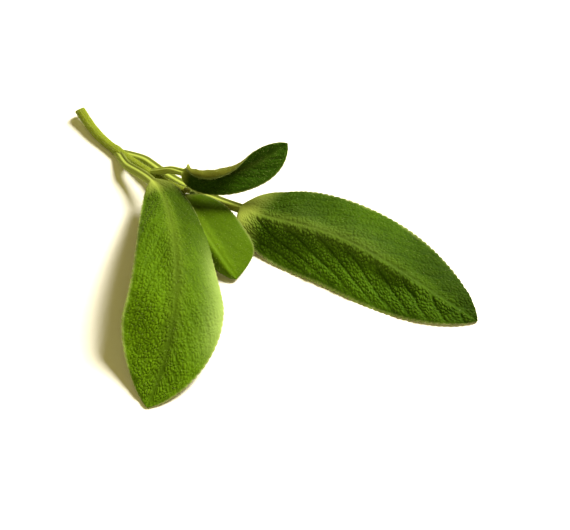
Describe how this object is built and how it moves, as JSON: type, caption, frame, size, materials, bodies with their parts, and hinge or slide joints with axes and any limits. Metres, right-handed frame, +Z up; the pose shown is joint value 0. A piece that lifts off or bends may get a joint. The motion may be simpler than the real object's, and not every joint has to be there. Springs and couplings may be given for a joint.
{
  "type": "cut sage sprig",
  "caption": "Cut sprig of common sage lying flat: a square green stem with large and small long-stalked, pebbly, fuzzy oval leaves and a tiny leafy growing tip.",
  "frame": {"origin": "on the surface the sprig lies on, under the middle of its bounding box", "axes": "+Z up from the surface; +X toward the side the leaf_right tip reaches, away from the stem's cut end; -Y toward the side the leaf_left tip reaches"},
  "size_m": [0.0942, 0.0882, 0.0191],
  "materials": {
    "stem": "green young stem, olive, finely downy",
    "bud": "young leaf, pale grey-green, densely downy",
    "leaf_left": "living leaf, mid green, pebbly and softly downy",
    "leaf_right": "living leaf, dark green, pebbly and softly downy",
    "leaf_upper": "living leaf, dark green above and pale below, downy",
    "leaf_middle": "young living leaf, bright yellow-green, downy"
  },
  "bodies": {
    "root": {"stem": "stem", "outer_bud_leaf_left": "bud", "outer_bud_leaf_right": "bud", "inner_bud_leaf_left": "bud", "inner_bud_leaf_right": "bud", "leaf_left": "leaf_left", "leaf_right": "leaf_right", "leaf_upper": "leaf_upper", "leaf_middle": "leaf_middle"}
  },
  "joints": []
}
